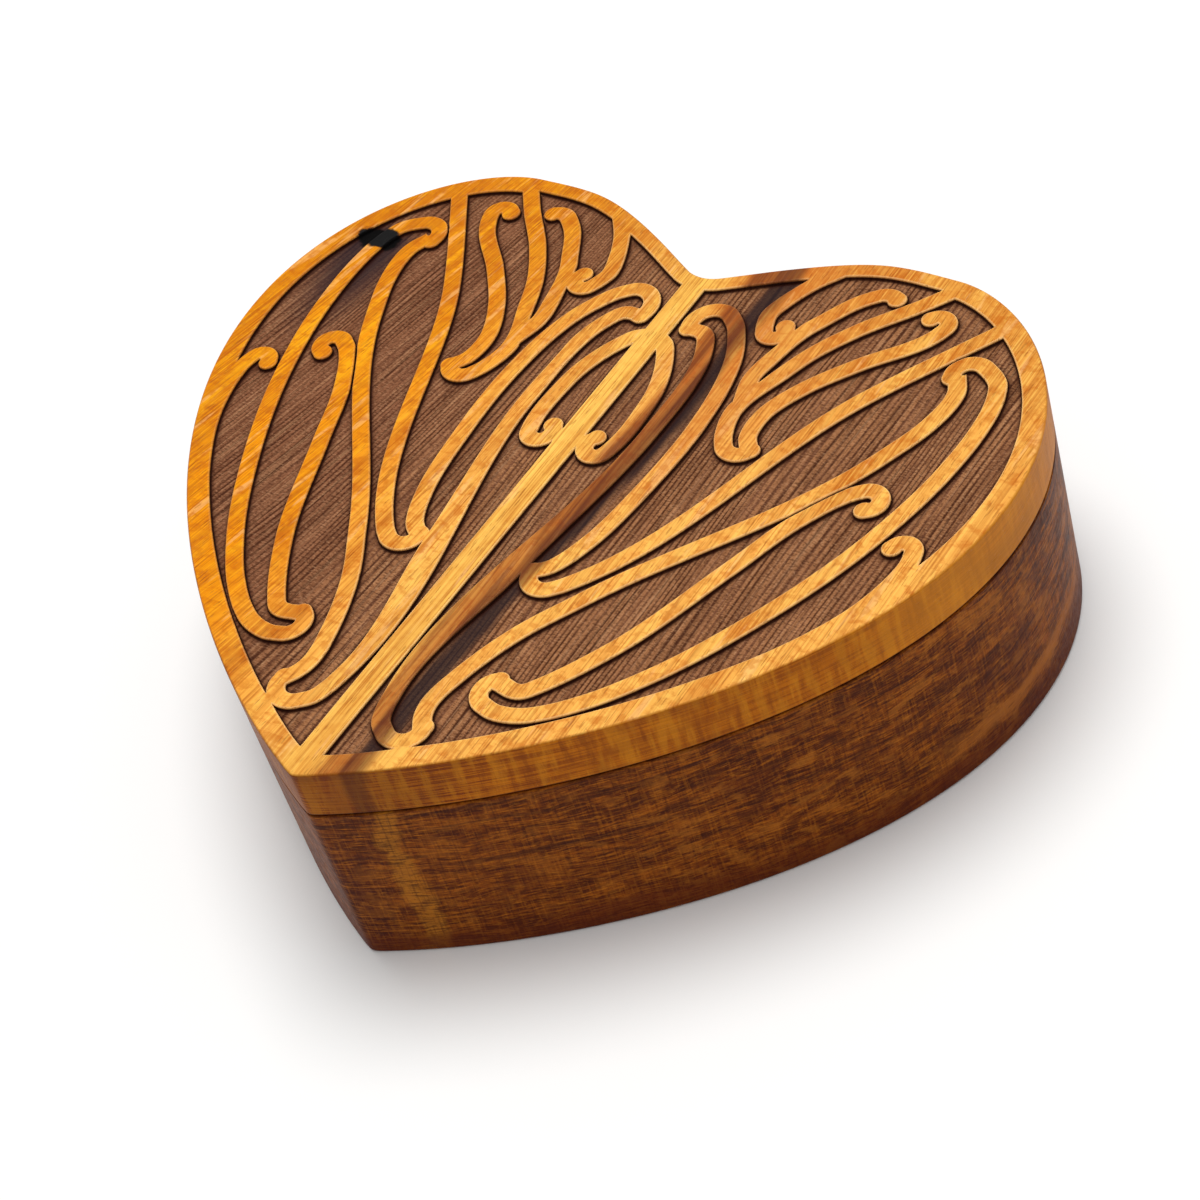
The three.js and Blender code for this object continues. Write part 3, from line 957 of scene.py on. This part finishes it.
def wall_patches(tree, colour, place, warped, split, level):
    """Long dark lines high on the wall, and lighter and darker patches that are strongest on the right."""
    long_lines = remap(tree, noise(tree, warped, (60.0, 60.0, 0.85), 2.0, 0.5), 0.54, 0.66)
    colour = blend(tree, times(tree, long_lines, remap(tree, level, 12.0, 24.0, 0.15, 0.6)), colour, "2e0e06")
    patches = noise(tree, place, (6.5, 6.5, 3.4), 4.0, 0.62, 0.3)
    patchy = remap(tree, split["X"], 26.0, 56.0, 0.25, 0.52)
    colour = blend(tree, times(tree, remap(tree, patches, 0.52, 0.64), patchy), colour, "a4601a")
    return blend(tree, times(tree, remap(tree, patches, 0.48, 0.36), patchy), colour, "3a1608")


def brown_timber(grain, mottle):
    material, tree = new_material("brown_timber")
    place = board_place(tree)
    split = split_up(tree, place)
    figure = use(tree, grain, place=place, band_width=9.0, streak_width=1.2, drift=6.0)
    cloud = use(tree, mottle, place=place, patch=7.0)
    warp = less(tree, noise(tree, place, (22.0, 22.0, 12.0), 2.0), 0.5)
    warped = vector_maths(tree, "ADD", place, put_together(tree, Z=times(tree, warp, 4.5)))
    level = plus(tree, split["Z"], times(tree, warp, 12.0))
    threads = noise(tree, warped, (5.0, 5.0, 0.34), 3.0, 0.6)
    saw = noise(tree, place, (0.4, 0.4, 7.0), 3.0, 0.6)
    layers = noise(tree, warped, (16.0, 16.0, 1.3), 4.0, 0.62)
    colour = blend(tree, remap(tree, layers, 0.36, 0.66), "562002", "884206")
    colour = wall_tip(tree, colour, split, warp, level, cloud)
    colour = wall_lines(tree, colour, warped, threads, saw)
    colour = wall_patches(tree, colour, place, warped, split, level)
    colour = wash(tree, colour, "4a1b08", cloud["Clouds"], 0.55, 1.0, 0.35)
    colour = blend(tree, remap(tree, level, 3.0, 9.0, 0.65, 0.0), colour, "541b06")
    lip = remap(tree, size_of(tree, less(tree, level, 9.0)), 3.0, 0.6)
    lip = times(tree, lip, times(tree, remap(tree, split["X"], 68.0, 74.0), 0.7))
    colour = blend(tree, lip, colour, "a8611f")
    colour = tint(tree, colour, "30140a", figure["Pores"], 0.4)
    # A dark band just below the seam on the wall's outer face: painted shade in the gap, with some dirt
    seam = times(tree, remap(tree, split["Z"], SEAM - 0.4, SEAM - 0.1, 0.0, 0.9), mark(tree, "side"))
    colour = blend(tree, seam, colour, "30080a")
    rough = plus(tree, 0.42, times(tree, cloud["Flecks"], 0.12))
    height = plus(tree, times(tree, saw, 0.6), times(tree, threads, 0.4))
    return finish_material(material, colour, rough, height, 0.07, 0.06)


def plain_timber(name, grain, mottle, light, dark, pore):
    """Sanded timber for the boards that only show when the lid is off or the box is turned over."""
    material, tree = new_material(name)
    place = board_place(tree)
    figure = use(tree, grain, place=place, band_width=11.0, streak_width=1.6, drift=6.0)
    cloud = use(tree, mottle, place=place, patch=9.0)
    colour = blend(tree, remap(tree, figure["Bands"], 0.35, 0.65), light, dark)
    colour = tint(tree, colour, dark, figure["Streaks"], 0.45)
    colour = tint(tree, colour, light, cloud["Clouds"], 0.25)
    colour = tint(tree, colour, pore, figure["Pores"], 0.5)
    rough = plus(tree, 0.5, times(tree, figure["Fibres"], 0.15))
    return finish_material(material, colour, rough, figure["Fibres"], 0.06, 0.4)


def green_felt():
    material, tree = new_material("felt")
    place = board_place(tree)
    fibres = noise(tree, place, (0.5, 0.5, 0.5), 5.0, 0.75, 1.6)
    clumps = noise(tree, place, (3.2, 3.2, 3.2), 4.0, 0.65)
    colour = blend(tree, remap(tree, fibres, 0.36, 0.64), "12301f", "3c7050")
    colour = wash(tree, colour, "1b4430", clumps, 0.4, 0.66, 0.5)
    lint = noise(tree, place, (0.25, 2.2, 1.0), 2.0, 0.5, 2.5)
    colour = wash(tree, colour, "6f9a7e", lint, 0.68, 0.74, 0.5)
    rough = remap(tree, fibres, 0.0, 1.0, 0.88, 1.0)
    height = plus(tree, fibres, times(tree, clumps, 0.6))
    set_inputs(tree, tree.nodes["Principled BSDF"], {"Sheen Weight": 0.2, "Sheen Roughness": 0.5})
    return finish_material(material, colour, rough, height, 0.35, 0.2)


# Putting it together

grain, mottle, heartwood = grain_group(), mottle_group(), heartwood_group()
golden = golden_timber(grain, mottle, heartwood)
brown = brown_timber(grain, mottle)
bottom_wood = plain_timber("red_brown_timber", grain, mottle, "7a4420", "552a14", "301509")
plug_wood = plain_timber("plain_timber", grain, mottle, "c08a4c", "94602c", "5a3414")
felt = green_felt()


def dress(piece, body, node):
    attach(piece, body)
    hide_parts(node)


dress(carved_lid(golden), "cover", "lid")
dress(hollow_wall("wall_ring", brown), "base", "body_wall")
let_in_bottom = plain_board("let_in_bottom", "bottom_board", bottom_wood, *BOTTOM_EDGES)
dress(let_in_bottom, "base", "bottom_board")
locating_heart = plain_board("locating_heart", "lid_locating_board", plug_wood, *PLUG_EDGES)
dress(locating_heart, "cover", "lid_locating_board")

felt_low, felt_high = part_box("floor_lining")
felt_outline = heart_loops("floor_lining", felt_low.z / MM, -1)[0]
felt_rows = square_rows(felt_high.x / MM, FELT_ROW)
felt_inner = inside_of([felt_outline * FELT_INNER], felt_rows)
lining = plain_board("felt_floor", "floor_lining", felt, *FELT_EDGES, felt_inner, felt_rise)
dress(lining, "base", "floor_lining")


# The camera, at the photograph's angle, as measured on the box's own edges

FRAME_PIXELS = 1200
FOCAL_PIXELS = 3192.51
TURN, RISE, ROLL = (math.radians(a) for a in (46.977, 44.297, -18.73))
DISTANCE, OFF_RIGHT, OFF_UP = 543.162, 0.929, 11.445


def set_camera():
    back = Vector((math.sin(TURN) * math.cos(RISE), -math.cos(TURN) * math.cos(RISE), math.sin(RISE)))
    level = Vector((math.cos(TURN), math.sin(TURN), 0))
    over = back.cross(level)
    right = math.cos(ROLL) * level + math.sin(ROLL) * over
    up = math.cos(ROLL) * over - math.sin(ROLL) * level
    data = bpy.data.cameras.new("camera")
    data.sensor_width = 36.0
    data.lens = FOCAL_PIXELS / FRAME_PIXELS * data.sensor_width
    camera = bpy.data.objects.new("camera", data)
    bpy.context.scene.collection.objects.link(camera)
    spot = (back * DISTANCE + right * OFF_RIGHT + up * OFF_UP) * MM
    turned = Matrix((right, up, back)).transposed().to_4x4()
    camera.matrix_world = Matrix.Translation(spot) @ turned
    data.clip_start, data.clip_end = 0.01, 20.0
    bpy.context.scene.camera = camera


WHITE_FROM = (0.14, 0.6)  # metres from the box; beyond this the floor is seen as plain white
WORLD_LIGHT = 0.42
FLOOR_HALF = 3.0
AIM = (0, 0, 0.03)  # the lamps point at the middle of the box


def seen_straight(tree):
    """1 for what the camera sees, itself or in a reflection or through glass, and 0 for light on the box."""
    ray = add_node(tree, "ShaderNodeLightPath").outputs
    mirrored = maths(tree, "MAXIMUM", ray["Is Glossy Ray"], ray["Is Transmission Ray"])
    return maths(tree, "MAXIMUM", ray["Is Camera Ray"], mirrored)


def set_floor():
    mesh = bpy.data.meshes.new("floor")
    a = FLOOR_HALF
    mesh.from_pydata([(-a, -a, 0), (a, -a, 0), (a, a, 0), (-a, a, 0)], [], [(0, 1, 2, 3)])
    floor = bpy.data.objects.new("floor", mesh)
    material, tree = new_material("pale_floor")
    place = add_node(tree, "ShaderNodeTexCoord").outputs["Object"]
    away = add_node(tree, "ShaderNodeVectorMath", {0: place}, operation="LENGTH").outputs["Value"]
    glow = times(tree, remap(tree, away, *WHITE_FROM), seen_straight(tree))
    set_inputs(tree, tree.nodes["Principled BSDF"], {
        "Base Color": (0.95, 0.95, 0.94, 1), "Roughness": 0.75, "Specular IOR Level": 0.2,
        "Emission Color": (1, 1, 1, 1), "Emission Strength": glow})
    mesh.materials.append(material)
    bpy.context.scene.collection.objects.link(floor)


def soft_lamp(name, place, size, power):
    data = bpy.data.lights.new(name, "AREA")
    data.shape, data.size, data.energy = "DISK", size, power
    lamp = bpy.data.objects.new(name, data)
    lamp.location = place
    lamp.rotation_euler = (Vector(AIM) - Vector(place)).to_track_quat("-Z", "Y").to_euler()
    bpy.context.scene.collection.objects.link(lamp)


def set_lights():
    world = bpy.data.worlds.new("studio")
    world.use_nodes = True
    tree = world.node_tree
    strength = remap(tree, seen_straight(tree), 0.0, 1.0, WORLD_LIGHT, 1.0, smooth=False)
    set_inputs(tree, tree.nodes["Background"], {"Color": (1, 1, 1, 1), "Strength": strength})
    bpy.context.scene.world = world
    soft_lamp("overhead", (-0.1, 0.2, 1.0), size=0.6, power=7.0)
    soft_lamp("edge_light", (0.42, -0.36, 0.9), size=0.2, power=1.4)


set_camera()
set_floor()
set_lights()
bpy.context.scene.view_settings.view_transform = "Standard"
